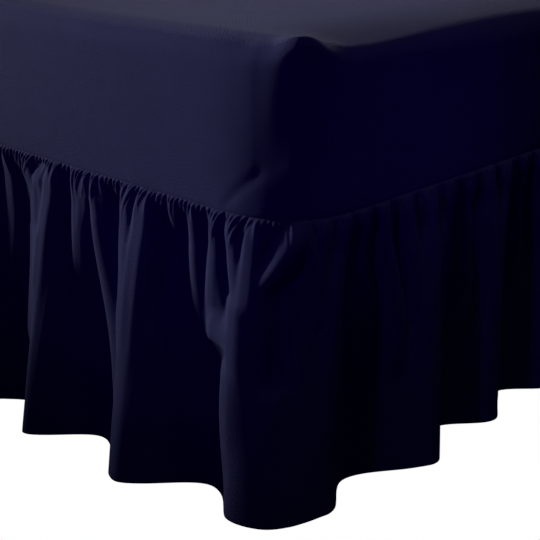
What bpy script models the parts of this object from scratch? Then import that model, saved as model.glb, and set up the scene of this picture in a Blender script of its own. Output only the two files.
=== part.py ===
"""A fitted bed skirt on a single mattress and its base.

One cloth cover fits over the mattress, with a dart sewn down each corner. A gathered frill hangs from
the cover's lower edge to the floor all round, in two lengths that are joined halfway along the sides.
The mattress fills the cover and stands on a plain base behind the frill.

The origin is on the floor under the middle of the bed. +Z is up, and the foot of the bed faces -Y.
Distances along the seam are measured round the cover's lower edge, anticlockwise seen from above,
from the middle of the corner at +X, -Y.
"""

import math
import random

import bmesh
import bpy
from mathutils import Vector

# Mattress and base
MATTRESS_WIDTH = 0.90
MATTRESS_LENGTH = 1.90
MATTRESS_CORNER = 0.15  # radius in plan
MATTRESS_EDGE = 0.065  # radius of its top and bottom edges
MATTRESS_BELOW_SEAM = 0.008
BASE_INSET = 0.026  # base inside the mattress's sides
BASE_EDGE = 0.012
EDGE_SEGMENTS = 4
REST_GAP = 0.0003  # between pieces that rest on each other or are sewn together

# Cover
CLOTH = 0.0015
CLEARANCE = 0.002  # cloth to the mattress's sides and edges
SEAM_HEIGHT = 0.40  # floor to the gathered seam
TOP_HEIGHT = 0.615
CORNER_RADIUS = 0.075  # in plan, at the seam, outside the cloth
CORNER_PULL = 0.0138  # how far the cloth above the seam is drawn in at a corner
CORNER_PULL_FULL = 0.030  # from the dart along each side, where it starts to fade
CORNER_PULL_LENGTH = 0.135  # from the dart to where it ends along each side
CORNER_PULL_RISE = 0.045  # height over which it comes in, from the seam
DART_CREASE = 0.0085  # how far the cloth stands out again along the dart
DART_CREASE_WIDTH = 0.040  # from the dart to each side
TOP_EDGE_RADIUS = 0.040
TOP_EDGE_LIFTS = (0.25, 0.6, 1.0, 0.8, 0.0)  # share of an ear or dip at each row of that edge
WALL_ROWS = (0.0, 0.25, 0.6)  # shares of the height from the seam to that edge
CORNER_STEPS = 8  # columns of the cover round each corner
NEAR_COLUMNS = (0.0, 0.02, 0.045, 0.08, 0.13, 0.22)  # from a corner's end along each side
EAR_HEIGHT = 0.004  # how far the dart's tip stands up at each corner
EAR_WIDTH = 0.022  # along the edge
DIP_DEPTH = 0.006  # where the edge sags beside the dart
DIP_AT = 0.075  # from the dart to the lowest point of that sag
DIP_WIDTH = 0.040  # along the edge
SIDE_BULGE = 0.004  # of the cover's sides, halfway up

# Frill
HEM_HEIGHT = 0.002  # floor to hem
FRILL_COLUMNS = 500
FRILL_ROWS = (0.0, 0.030, 0.085, 0.170, 0.290, 0.500, 0.750, 1.0)  # shares of the drop
FIRST_COARSE_ROW = 4  # every second column ends here, where the small folds have died out
RIDGE_RISE = 0.07  # share of the drop over which a ridge gains most of its height
RIDGE_SLOPES = (1.3, 0.7)  # of a ridge's flanks, at the seam and at the hem
RIDGE_ROUNDING = (0.009, 0.016)  # of its back, at the seam and at the hem
RIDGE_BLEND = 0.0025  # softens the line where ridges meet
FOLD_BACK = 0.012  # how far the cloth between ridges lies behind the seam
FOLD_BACK_RISE = 0.14  # share of the drop over which it goes back
FLARE = 1.15  # over 1, the frill hangs nearer to upright at the seam than at the hem
PLAIN_END = 0.05  # length over which small folds die out towards a join

# Hem folds near the corner at +X, -Y: where each is along the seam, and how far out the hem stands
# there. Folds out and folds in take turns, though they are almost level round the corner itself.
HEM_FOLDS = (
    # along, out
    (-0.600, 0.083),
    (-0.497, 0.026),
    (-0.437, 0.094),
    (-0.338, 0.024),
    (-0.232, 0.083),
    (-0.124, 0.004),
    (-0.047, 0.034),
    (0.000, 0.028),
    (0.038, 0.020),
    (0.115, -0.023),
    (0.243, 0.040),
    (0.323, -0.018),
    (0.409, 0.034),
    (0.488, -0.016),
    (0.572, 0.040),
)
# Small folds that run down from the seam near the same corner, as ridges: where each starts and ends
# along the seam, the share of the drop where it gets there, the share where it dies out, how far it
# stands out, and half the width of its flat back.
RIDGES = (
    # top, foot, settled, reach, out, half width
    (-0.600, -0.583, 0.30, 1.05, 0.029, 0.006),
    (-0.572, -0.553, 0.30, 0.90, 0.024, 0.005),
    (-0.541, -0.474, 0.17, 0.80, 0.031, 0.003),
    (-0.520, -0.479, 0.12, 0.30, 0.019, 0.001),
    (-0.454, -0.444, 0.30, 1.05, 0.031, 0.009),
    (-0.402, -0.382, 0.30, 0.56, 0.028, 0.006),
    (-0.382, -0.370, 0.30, 0.50, 0.025, 0.004),
    (-0.347, -0.277, 0.60, 0.85, 0.028, 0.002),
    (-0.329, -0.271, 0.60, 0.60, 0.023, 0.002),
    (-0.287, -0.252, 0.70, 1.05, 0.031, 0.006),
    (-0.240, -0.232, 0.50, 1.05, 0.032, 0.010),
    (-0.219, -0.222, 0.20, 0.16, 0.014, 0.001),
    (-0.191, -0.189, 0.20, 0.20, 0.016, 0.001),
    (-0.157, -0.134, 0.70, 0.56, 0.024, 0.002),
    (-0.122, -0.099, 0.45, 0.52, 0.029, 0.006),
    (-0.101, -0.079, 0.14, 0.30, 0.018, 0.001),
    (-0.081, -0.069, 0.20, 1.05, 0.030, 0.003),
    (-0.055, -0.043, 0.20, 1.05, 0.030, 0.006),
    (-0.044, -0.039, 0.08, 0.11, 0.017, 0.001),
    (-0.025, -0.035, 0.08, 0.11, 0.017, 0.001),
    (-0.002, -0.046, 0.20, 0.30, 0.036, 0.001),
    (0.014, 0.034, 0.20, 0.24, 0.022, 0.001),
    (0.045, 0.042, 0.30, 0.34, 0.016, 0.002),
    (0.078, 0.064, 0.30, 0.80, 0.019, 0.003),
    (0.112, 0.114, 0.30, 0.40, 0.017, 0.002),
    (0.150, 0.190, 0.50, 0.62, 0.023, 0.003),
    (0.196, 0.232, 0.50, 0.85, 0.025, 0.004),
    (0.246, 0.247, 0.30, 1.05, 0.028, 0.006),
    (0.296, 0.272, 0.40, 0.52, 0.022, 0.003),
    (0.342, 0.350, 0.30, 0.44, 0.020, 0.003),
    (0.388, 0.405, 0.50, 0.95, 0.026, 0.005),
    (0.436, 0.416, 0.40, 0.80, 0.024, 0.004),
    (0.486, 0.492, 0.30, 0.40, 0.020, 0.002),
    (0.530, 0.565, 0.50, 0.95, 0.025, 0.005),
    (0.575, 0.580, 0.30, 0.60, 0.022, 0.003),
)

# The folds round the rest of the bed are of the same two kinds, drawn from these ranges.
FOLD_SEED = 11
FOLD_SPACING = (0.074, 0.104)  # from a fold out to the next fold in
FOLD_OUT = (0.052, 0.084)
FOLD_IN = (-0.014, 0.012)
RIDGE_SPACING = (0.026, 0.050)
RIDGE_DRIFT = (-0.030, 0.030)  # from a ridge's top to its foot, along the seam
RIDGE_SETTLED = (0.20, 0.60)
RIDGE_REACH = (0.20, 1.05)
RIDGE_OUT = (0.018, 0.030)
RIDGE_HALF = (0.001, 0.009)

# Worked out from those sizes
SHELL = CLEARANCE + CLOTH
SEAM_HALF_WIDTH = MATTRESS_WIDTH / 2 + SHELL
SEAM_HALF_LENGTH = MATTRESS_LENGTH / 2 + SHELL
STRAIGHT_WIDTH = 2 * (SEAM_HALF_WIDTH - CORNER_RADIUS)
STRAIGHT_LENGTH = 2 * (SEAM_HALF_LENGTH - CORNER_RADIUS)
CORNER_ARC = CORNER_RADIUS * math.pi / 2
SEAM_LENGTH = 2 * (STRAIGHT_WIDTH + STRAIGHT_LENGTH) + 4 * CORNER_ARC
HALFWAY = CORNER_ARC / 2 + STRAIGHT_LENGTH / 2  # from the corner to the middle of the long side
DROP = SEAM_HEIGHT - REST_GAP - HEM_HEIGHT

# The seam's corners, in order: the side each is on, where its arc starts, and the straight run after it
CORNERS = (
    # x, y, first angle in degrees, straight run
    (1, -1, -90, STRAIGHT_LENGTH),
    (1, 1, 0, STRAIGHT_WIDTH),
    (-1, 1, 90, STRAIGHT_LENGTH),
    (-1, -1, 180, STRAIGHT_WIDTH),
)

COLOURS = {
    # colour, roughness
    "cloth": ((0.012, 0.012, 0.055, 1.0), 0.75),
    "ticking": ((0.80, 0.80, 0.78, 1.0), 0.85),
    "base_fabric": ((0.30, 0.30, 0.32, 1.0), 0.90),
}


def ease(share):
    """A smooth step from 0 to 1."""
    share = min(max(share, 0.0), 1.0)
    return share * share * (3 - 2 * share)


def seam_point(along, out=0.0):
    """The plan position at a distance along the seam and a distance out from it."""
    left = (along + CORNER_ARC / 2) % SEAM_LENGTH
    for side_x, side_y, first_angle, straight in CORNERS:
        centre = Vector(
            (
                side_x * (SEAM_HALF_WIDTH - CORNER_RADIUS),
                side_y * (SEAM_HALF_LENGTH - CORNER_RADIUS),
            )
        )
        angle = math.radians(first_angle) + min(left, CORNER_ARC) / CORNER_RADIUS
        outward = Vector((math.cos(angle), math.sin(angle)))
        onward = Vector((-outward.y, outward.x))
        past = left - CORNER_ARC
        if past < straight:
            return centre + (CORNER_RADIUS + out) * outward + max(past, 0.0) * onward
        left = past - straight
    raise ValueError("the seam is shorter than its corners and straight runs")


def to_next_corner(along):
    """How far a place on the seam is from the dart of the nearest corner."""
    darts = []
    place = 0.0
    for *_, straight in CORNERS:
        darts.append(place)
        place += CORNER_ARC + straight
    gaps = [abs((along - dart + SEAM_LENGTH / 2) % SEAM_LENGTH - SEAM_LENGTH / 2) for dart in darts]
    return min(gaps)


def every_fold():
    """The hem folds all round: the table's, then drawn ones up to where the table starts again."""
    draw = random.Random(FOLD_SEED)
    folds = list(HEM_FOLDS)
    first, last = folds[0][0] + SEAM_LENGTH, folds[-1][0]
    pairs = round((first - last) / sum(FOLD_SPACING))
    steps = [draw.uniform(*FOLD_SPACING) for _ in range(2 * pairs)]
    stretch = (first - last) / sum(steps)
    place = last
    for number, step in enumerate(steps[:-1]):
        place += step * stretch
        out = draw.uniform(*(FOLD_OUT if number % 2 else FOLD_IN))
        folds.append((place, out))
    return folds


def every_ridge():
    """The ridges all round: the table's, then drawn ones."""
    draw = random.Random(FOLD_SEED + 1)
    ridges = list(RIDGES)
    first, last = ridges[0][0] + SEAM_LENGTH, ridges[-1][0]
    count = round((first - last) / (sum(RIDGE_SPACING) / 2))
    steps = [draw.uniform(*RIDGE_SPACING) for _ in range(count)]
    stretch = (first - last) / sum(steps)
    top = last
    for step in steps[:-1]:
        top += step * stretch
        foot = top + draw.uniform(*RIDGE_DRIFT)
        sizes = [draw.uniform(*span) for span in (RIDGE_SETTLED, RIDGE_REACH, RIDGE_OUT, RIDGE_HALF)]
        ridges.append((top, foot, *sizes))
    return ridges


def hem_out(folds, along):
    """How far the hem stands out at a place along the seam."""
    place = folds[0][0] + (along - folds[0][0]) % SEAM_LENGTH
    ends = folds[1:] + [(folds[0][0] + SEAM_LENGTH, folds[0][1])]
    for (start, start_out), (end, end_out) in zip(folds, ends):
        if place <= end:
            return start_out + (end_out - start_out) * ease((place - start) / (end - start))
    return folds[0][1]


def fold_in_near(folds, along):
    """The fold in that is nearest to a place along the seam."""
    return min((place for place, _ in folds[1::2]), key=lambda place: abs(place - along))


def small_folds(ridges, along, share):
    """How far the small folds stand out or in, at a place along the seam and a share of the drop."""
    slope = RIDGE_SLOPES[0] + (RIDGE_SLOPES[1] - RIDGE_SLOPES[0]) * share
    rounding = RIDGE_ROUNDING[0] + (RIDGE_ROUNDING[1] - RIDGE_ROUNDING[0]) * share
    total = 1.0
    for top, foot, settled, reach, out, half in ridges:
        if share >= reach:
            continue
        middle = top + (foot - top) * ease(share / settled)
        off = (along - middle + SEAM_LENGTH / 2) % SEAM_LENGTH - SEAM_LENGTH / 2
        beside = max(abs(off) - half, 0.0)
        height = out * (1 - math.exp(-share / RIDGE_RISE)) * (1 - share / reach) ** 0.7
        fall = slope * (math.hypot(beside, rounding) - rounding)
        total += min(height / 0.002, 1.0) * math.exp((height - fall) / RIDGE_BLEND)
    back = FOLD_BACK * ease(share / FOLD_BACK_RISE) * (1 - share)
    return RIDGE_BLEND * math.log(total) - back


def material(name):
    """A finish for a sub-part."""
    colour, roughness = COLOURS[name]
    made = bpy.data.materials.get(name) or bpy.data.materials.new(name)
    made.use_nodes = True
    shader = made.node_tree.nodes["Principled BSDF"]
    shader.inputs["Base Color"].default_value = colour
    shader.inputs["Roughness"].default_value = roughness
    shader.inputs["Metallic"].default_value = 0.0
    return made


def add_object(name, bm, finish):
    """Makes a named object from a bmesh."""
    bmesh.ops.recalc_face_normals(bm, faces=bm.faces)
    mesh = bpy.data.meshes.new(name)
    bm.to_mesh(mesh)
    bm.free()
    made = bpy.data.objects.new(name, mesh)
    bpy.context.scene.collection.objects.link(made)
    mesh.materials.append(material(finish))
    mesh.shade_smooth()
    mesh.set_sharp_from_angle(angle=math.radians(50))
    return made


def thicken(made):
    """Gives a sheet the thickness of its cloth, inwards."""
    solidify = made.modifiers.new("cloth", "SOLIDIFY")
    solidify.thickness = CLOTH
    solidify.offset = -1.0


def make_block(name, finish, size, corner, edge):
    """A block with round corners in plan and round edges, from its half width, half length and heights."""
    half_width, half_length, bottom, top = size
    bm = bmesh.new()
    bmesh.ops.create_cube(bm, size=1.0)
    bmesh.ops.scale(bm, vec=(2 * half_width, 2 * half_length, top - bottom), verts=bm.verts)
    bmesh.ops.translate(bm, vec=(0, 0, (top + bottom) / 2), verts=bm.verts)
    upright = [e for e in bm.edges if e.verts[0].co.z != e.verts[1].co.z]
    bmesh.ops.bevel(
        bm, geom=upright, offset=corner, segments=2 * EDGE_SEGMENTS, profile=0.5, affect="EDGES", material=-1
    )
    rims = [e for e in bm.edges if e.verts[0].co.z == e.verts[1].co.z]
    bmesh.ops.bevel(
        bm, geom=rims, offset=edge, segments=EDGE_SEGMENTS, profile=0.5, affect="EDGES", material=-1
    )
    return add_object(name, bm, finish)


def cover_profile():
    """The cover's section, from the seam to the flat top."""
    wall_top = TOP_HEIGHT - TOP_EDGE_RADIUS
    rows = []  # height, inset from the seam's outline, share of an ear or dip
    for share in WALL_ROWS:
        bulge = SIDE_BULGE * math.sin(math.pi * share)
        rows.append((SEAM_HEIGHT + share * (wall_top - SEAM_HEIGHT), -bulge, 0.0))
    for step, lift_share in enumerate(TOP_EDGE_LIFTS):
        turn = math.pi / 2 * step / (len(TOP_EDGE_LIFTS) - 1)
        inset = TOP_EDGE_RADIUS * (1 - math.cos(turn))
        rows.append((wall_top + TOP_EDGE_RADIUS * math.sin(turn), inset, lift_share))
    return rows


def cover_columns():
    """Places along the seam where the cover has a column of points: close at the corners, then wider."""
    columns = []
    dart = 0.0
    for *_, straight in CORNERS:
        for step in range(CORNER_STEPS):
            columns.append(dart + CORNER_ARC * (step / CORNER_STEPS - 0.5))
        run_start = dart + CORNER_ARC / 2
        columns += [run_start + off for off in NEAR_COLUMNS]
        columns.append(run_start + straight / 2)
        columns += [run_start + straight - off for off in reversed(NEAR_COLUMNS[1:])]
        dart += CORNER_ARC + straight
    return columns


def corner_pull(along, height):
    """How far the cover is drawn in beside a corner's dart, above the seam."""
    off = to_next_corner(along)
    pull = CORNER_PULL * ease((CORNER_PULL_LENGTH - off) / (CORNER_PULL_LENGTH - CORNER_PULL_FULL))
    crease = DART_CREASE * max(1 - off / DART_CREASE_WIDTH, 0.0) ** 1.8
    return (pull - crease) * ease((height - SEAM_HEIGHT) / CORNER_PULL_RISE)


def edge_lift(along):
    """How far the cover's top edge is lifted by the dart's tip, or sags beside it."""
    off = to_next_corner(along)
    ear = EAR_HEIGHT * math.exp(-0.5 * (off / (EAR_WIDTH / 2)) ** 2)
    dip = DIP_DEPTH * math.exp(-0.5 * ((off - DIP_AT) / (DIP_WIDTH / 2)) ** 2)
    return ear - dip


def make_cover():
    """The fitted cover: rings of points from the seam up and over the top edge, and a flat top."""
    bm = bmesh.new()
    columns = cover_columns()
    rings = []
    for height, inset, lift_share in cover_profile():
        ring = []
        for along in columns:
            lift = lift_share * edge_lift(along)
            place = seam_point(along, -inset - corner_pull(along, height) + max(lift, 0.0))
            ring.append(bm.verts.new((place.x, place.y, height + lift)))
        rings.append(ring)
    for lower, upper in zip(rings, rings[1:]):
        for number in range(len(columns)):
            after = (number + 1) % len(columns)
            bm.faces.new((lower[number], lower[after], upper[after], upper[number]))
    top = bm.faces.new(rings[-1])
    bmesh.ops.poke(bm, faces=[top])
    thicken(add_object("fitted_cover", bm, "cloth"))


def make_frill(name, start, end, folds, ridges):
    """One length of the frill. Its ends hang plain, so that it meets the other length edge to edge."""
    columns = 2 * round(FRILL_COLUMNS * (end - start) / SEAM_LENGTH / 2)
    rows = len(FRILL_ROWS)
    bm = bmesh.new()
    bmesh.ops.create_grid(bm, x_segments=columns, y_segments=rows - 1, size=0.5)
    cells = {}  # each point's column and row
    for vert in bm.verts:
        column = round((vert.co.x + 0.5) * columns)
        row = round((0.5 - vert.co.y) * (rows - 1))
        cells[vert] = (column, row)
    for vert, (column, row) in cells.items():
        along = start + (end - start) * column / columns
        share = FRILL_ROWS[row]
        from_end = min(along - start, end - along)
        small = small_folds(ridges, along, share) * ease(from_end / PLAIN_END)
        place = seam_point(along, hem_out(folds, along) * share**FLARE + small)
        vert.co = (place.x, place.y, SEAM_HEIGHT - REST_GAP - DROP * share)
    spare = [
        edge
        for edge in bm.edges
        if all(cells[v][0] % 2 and cells[v][1] >= FIRST_COARSE_ROW for v in edge.verts)
    ]
    bmesh.ops.dissolve_edges(bm, edges=spare, use_verts=True)
    thicken(add_object(name, bm, "cloth"))


def main():
    for old in list(bpy.data.objects):
        bpy.data.objects.remove(old, do_unlink=True)
    half_width, half_length = MATTRESS_WIDTH / 2, MATTRESS_LENGTH / 2
    base_top = SEAM_HEIGHT - MATTRESS_BELOW_SEAM - REST_GAP
    mattress_top = TOP_HEIGHT - CLOTH - REST_GAP
    make_block(
        "bed_base",
        "base_fabric",
        size=(half_width - BASE_INSET, half_length - BASE_INSET, 0.0, base_top),
        corner=CORNER_RADIUS,
        edge=BASE_EDGE,
    )
    make_block(
        "mattress",
        "ticking",
        size=(half_width, half_length, base_top + REST_GAP, mattress_top),
        corner=MATTRESS_CORNER,
        edge=MATTRESS_EDGE,
    )
    make_cover()
    folds, ridges = every_fold(), every_ridge()
    near_join = fold_in_near(folds, HALFWAY)
    far_join = fold_in_near(folds, HALFWAY + SEAM_LENGTH / 2)
    make_frill("frill_head", near_join + REST_GAP, far_join - REST_GAP, folds, ridges)
    make_frill("frill_foot", far_join - SEAM_LENGTH, near_join, folds, ridges)


main()
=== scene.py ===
"""A fitted bed skirt in navy cloth on a single mattress and its base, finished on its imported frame.

The cover is stretched over the mattress and drawn in by a dart at each corner. The frill is gathered onto
the cover's lower edge in two lengths and hangs to the floor. Lengths are in metres, +Z is up and the foot
of the bed faces -Y. Distances along the seam are measured round the cover's lower edge, anticlockwise
seen from above, from the middle of the corner at +X, -Y.
"""

import math
import random

import bmesh
import bpy
import numpy as np
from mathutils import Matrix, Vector


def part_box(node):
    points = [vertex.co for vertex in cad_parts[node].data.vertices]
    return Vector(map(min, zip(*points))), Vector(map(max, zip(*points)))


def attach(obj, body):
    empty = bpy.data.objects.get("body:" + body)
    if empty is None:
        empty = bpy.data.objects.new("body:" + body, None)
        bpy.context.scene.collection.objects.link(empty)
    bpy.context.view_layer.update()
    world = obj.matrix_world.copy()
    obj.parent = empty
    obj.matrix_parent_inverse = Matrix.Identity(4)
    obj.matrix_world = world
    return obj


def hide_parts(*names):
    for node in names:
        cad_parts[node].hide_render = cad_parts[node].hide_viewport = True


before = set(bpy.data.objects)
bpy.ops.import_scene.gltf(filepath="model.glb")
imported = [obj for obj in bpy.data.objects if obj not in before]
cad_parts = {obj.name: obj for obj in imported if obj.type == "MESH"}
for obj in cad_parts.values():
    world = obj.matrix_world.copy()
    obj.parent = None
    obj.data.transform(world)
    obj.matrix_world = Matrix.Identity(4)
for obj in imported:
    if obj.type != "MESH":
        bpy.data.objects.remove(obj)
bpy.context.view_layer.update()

bl_info = {
    "name": "Bed skirt",
    "version": (1, 0, 0),
    "blender": (4, 5, 0),
    "location": "3D View > Sidebar > Bed skirt",
    "description": "Makes a fitted bed skirt with a gathered frill, on a mattress and its base",
    "category": "Add Mesh",
}

# The seam between the cover and the frill
SEAM_HALF_WIDTH = 0.4535
SEAM_HALF_LENGTH = 0.9535
CORNER_RADIUS = 0.075
SEAM_HEIGHT = 0.40
STRAIGHT_WIDTH = 2 * (SEAM_HALF_WIDTH - CORNER_RADIUS)
STRAIGHT_LENGTH = 2 * (SEAM_HALF_LENGTH - CORNER_RADIUS)
CORNER_ARC = CORNER_RADIUS * math.pi / 2
SEAM_LENGTH = 2 * (STRAIGHT_WIDTH + STRAIGHT_LENGTH) + 4 * CORNER_ARC
HALFWAY = CORNER_ARC / 2 + STRAIGHT_LENGTH / 2  # from the corner to the middle of the long side
CORNERS = (
    # x, y, first angle in degrees, straight run after it
    (1, -1, -90, STRAIGHT_LENGTH),
    (1, 1, 0, STRAIGHT_WIDTH),
    (-1, 1, 90, STRAIGHT_LENGTH),
    (-1, -1, 180, STRAIGHT_WIDTH),
)

# Cover
TOP_HEIGHT = 0.615
TOP_EDGE_RADIUS = 0.036
WALL = TOP_HEIGHT - TOP_EDGE_RADIUS - SEAM_HEIGHT  # height of the upright part of its sides
EDGE_ARC = TOP_EDGE_RADIUS * math.pi / 2
TOP_REACH = SEAM_HALF_WIDTH - TOP_EDGE_RADIUS  # from that edge to the middle of the top
SPINE = SEAM_HALF_LENGTH - SEAM_HALF_WIDTH  # half the length of the line where the top's rows end
SPINE_STEP = 0.02  # between the points on that line
SIDE_HOLLOW = 0.0012  # halfway up the cover's sides
CORNER_TURNS = (
    # distance from the dart, how far the cloth there is turned towards the next side, in degrees: at the
    # seam, low down, under the top edge
    (0.000, 45.0, 18.5, 18.5),
    (0.014, 37.0, 18.5, 17.0),
    (0.022, 31.5, 18.3, 15.5),
    (0.031, 25.5, 17.8, 13.5),
    (0.040, 20.5, 17.0, 10.5),
    (0.050, 17.0, 16.5, 8.0),
    (0.060, 14.3, 15.5, 7.0),
    (0.072, 10.5, 12.3, 5.7),
    (0.083, 6.5, 8.0, 4.0),
    (0.095, 2.5, 5.6, 2.4),
    (0.110, 0.5, 3.5, 0.8),
    (0.130, 0.0, 1.5, 0.0),
    (0.145, 0.0, 0.0, 0.0),
)
# Heights up the cloth between which each column of turns passes into the next
CORNER_LEVELS = ((0.0, 0.065), (0.02, 0.20))
CORNER_POINTS = 200  # along the cloth beside a dart, where its outline is worked out
SEAM_PULL_FALL = 0.03  # how far down the frill the turn at the seam dies out
EAR_WIDTH = 0.045  # of the dart's tip, along the edge
EAR_OUT = 0.5  # how far the tip stands out, as a share of how far it stands up
DIP_DEPTH = 0.003  # of the edge's sag on each side of the tip
DIP_AT = 0.075  # from the dart
DIP_WIDTH = 0.040
LIFT_START = 0.6  # share of the sides' height where the cloth starts to rise to the tip
SIDE_SAGS = (0.0200, 0.0155)  # how far the top drops at the long sides, near a corner and farther along
SIDE_SAG_REACH = 0.13  # in from those sides
SIDE_SAG_START = 0.4  # share of the sides' height where they start to sink with the top
SIDE_SAG_ENDS = (0.03, 0.12)  # from the foot and the head, where it starts and where it has its full depth
SIDE_EDGE_RADII = (0.016, 0.027)  # of the top edge along the long sides, near a corner and farther along
SIDE_SPAN = (0.15, 0.38)  # from a corner, where the first of each pair passes into the second
SIDE_EDGE_START = -0.03  # past the dart, where the top edge starts to change to a long side's radius
SIDE_EDGE_LENGTH = 0.04  # over which it changes
DART_FOOT = -0.002  # where the dart meets the seam, from the corner's middle
DART_LEAN = 0.045  # how far along the seam it moves for each metre up
DRAGS = (
    # from along, from height, to along, to height (off the dart and over the seam), out, width
    (-0.047, 0.057, -0.098, 0.009, -0.0015, 0.011),
)
DRAG_ENDS = 0.35  # share of its length over which one fades in at each end
COVER_PUCKER = 0.0005  # height of the small gathers that show above the seam
COVER_PUCKER_FALL = 0.02  # height over which they die out
PUCKER_WAVES = (7, 0.05)  # seed and wavelength of their unevenness
SIDE_WAVES = (3, 0.16)  # the same for the sides
SIDE_WAVES_RISE = 0.03  # height above the seam over which the sides become uneven
TOP_WAVES = (4, 0.30)  # the same for the top
TOP_UNEVENNESS = 1.2  # of the top, as a share of the sides'
COVER_TUCK_FALL = 0.0015  # height over which the cloth turns in to the seam
COVER_STRIP = 0.005  # height of the strip of the cover that lies behind the frill's top

# Frill
REST_GAP = 0.0003
HEM_HEIGHT = 0.002
DROP = SEAM_HEIGHT - REST_GAP - HEM_HEIGHT
RIDGE_RISE = 0.07  # share of the drop over which a ridge gains most of its height
RIDGE_SLOPES = (1.3, 0.7)  # of a ridge's flanks, at the seam and at the hem
RIDGE_ROUNDING = (0.009, 0.022)  # of its back, at the seam and at the hem
RIDGE_BLEND = 0.0025
FOLD_BACK = 0.012  # how far the cloth between ridges lies behind the seam
FOLD_BACK_RISE = 0.14
FLARE = 1.15  # the power of the share of the drop with which the hem's folds grow
FOLD_NEAR = 0.11  # along the seam, beyond which a small fold adds nothing
FOLD_FULL = 0.002  # how far out a small fold stands once it counts in full
RIDGE_TAPER = 0.7  # the power with which a ridge sinks towards its end
HEM_GAP = 0.0014  # between the two layers of the hem
HEM_TURN = 0.0015  # length of cloth over which the hem turns from one layer to the other
HEM_TURN_MIDDLE = 0.0007
FRILL_TUCK_FALL = 0.0012  # how far down the cloth turns in to the seam
FRILL_STRIP = 0.004  # height of the frill's strip behind the cover's edge
SEAM_TUCK = 0.0012  # how far the cover and the frill turn in where they meet
STRIP_INSET = 0.0025  # how much farther in the strips beyond the seam lie
JOIN_DEPTH = 0.0015  # how far in the frill's two lengths turn where they meet
JOIN_WIDTH = 0.002
JOIN_START = 0.02  # share of the drop over which that starts

# Hem folds near the corner at +X, -Y: where each is along the seam and how far out the hem stands there
HEM_FOLDS = (
    # along, out
    (-0.600, 0.083),
    (-0.497, 0.026),
    (-0.437, 0.094),
    (-0.338, 0.024),
    (-0.232, 0.083),
    (-0.124, 0.004),
    (-0.047, 0.034),
    (0.000, 0.028),
    (0.038, 0.020),
    (0.115, -0.023),
    (0.243, 0.040),
    (0.323, -0.018),
    (0.409, 0.034),
    (0.488, -0.016),
    (0.572, 0.040),
)
# Small folds that run down from the seam near the same corner, as ridges: where each starts and ends
# along the seam, the share of the drop where it gets there, the share where it dies out, how far it
# stands out, and half the width of its flat back
RIDGES = (
    # top, foot, settled, reach, out, half width
    (-0.600, -0.583, 0.30, 1.05, 0.018, 0.006),
    (-0.572, -0.553, 0.30, 0.90, 0.012, 0.004),
    (-0.512, -0.484, 0.17, 0.75, 0.031, 0.004),
    (-0.444, -0.446, 0.30, 1.05, 0.031, 0.007),
    (-0.390, -0.381, 0.30, 0.52, 0.025, 0.004),
    (-0.370, -0.378, 0.30, 0.46, 0.026, 0.003),
    (-0.350, -0.275, 1.00, 0.85, 0.027, 0.001),
    (-0.338, -0.283, 1.00, 0.60, 0.021, 0.001),
    (-0.276, -0.246, 0.70, 1.05, 0.031, 0.004),
    (-0.240, -0.243, 0.50, 1.05, 0.032, 0.008),
    (-0.219, -0.222, 0.20, 0.16, 0.014, 0.001),
    (-0.191, -0.189, 0.20, 0.20, 0.016, 0.001),
    (-0.152, -0.140, 0.60, 0.56, 0.020, 0.0005),
    (-0.108, -0.121, 0.40, 0.50, 0.027, 0.002),
    (-0.108, -0.108, 0.30, 0.50, 0.022, 0.002),
    (-0.079, -0.062, 0.40, 0.52, 0.030, 0.002),
    (-0.048, -0.054, 0.60, 1.05, 0.027, 0.004),
    (-0.044, -0.039, 0.08, 0.11, 0.017, 0.001),
    (-0.025, -0.035, 0.08, 0.11, 0.017, 0.001),
    (0.004, -0.083, 0.45, 0.30, 0.046, 0.0005),
    (0.014, 0.034, 0.20, 0.24, 0.022, 0.001),
    (0.045, 0.042, 0.30, 0.34, 0.016, 0.002),
    (0.078, 0.064, 0.30, 0.80, 0.019, 0.003),
    (0.112, 0.114, 0.30, 0.40, 0.017, 0.002),
    (0.150, 0.190, 0.50, 0.62, 0.023, 0.003),
    (0.196, 0.232, 0.50, 0.85, 0.025, 0.004),
    (0.246, 0.247, 0.30, 1.05, 0.028, 0.006),
    (0.296, 0.272, 0.40, 0.52, 0.022, 0.003),
    (0.342, 0.350, 0.30, 0.44, 0.020, 0.003),
    (0.388, 0.405, 0.50, 0.95, 0.026, 0.005),
    (0.436, 0.416, 0.40, 0.80, 0.024, 0.004),
    (0.486, 0.492, 0.30, 0.40, 0.020, 0.002),
    (0.530, 0.565, 0.50, 0.95, 0.025, 0.005),
    (0.575, 0.580, 0.30, 0.60, 0.022, 0.003),
)
# Places where the cloth bridges two ridges: where each is along the seam, the shares of the drop where
# it starts and ends and over which it dies out, how far it stands out, and half the width of its flat back
BRIDGES = (
    (-0.474, 0.02, 0.50, 0.30, 0.021, 0.005),
    (-0.484, 0.21, 0.96, 0.30, 0.023, 0.004),
    (-0.464, 0.20, 0.70, 0.30, 0.026, 0.004),
    (-0.427, 0.30, 1.05, 0.40, 0.017, 0.004),
    (-0.258, 0.13, 0.80, 0.40, 0.024, 0.006),
    (-0.224, 0.40, 1.05, 0.40, 0.015, 0.004),
    (-0.092, 0.31, 0.45, 0.02, 0.024, 0.014),
    (-0.062, 0.22, 0.80, 0.40, 0.025, 0.004),
    (-0.071, 0.46, 1.10, 0.50, 0.022, 0.004),
    (-0.039, 0.50, 1.40, 0.30, 0.013, 0.013),
)
BRIDGE_RISE = 0.06
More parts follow.
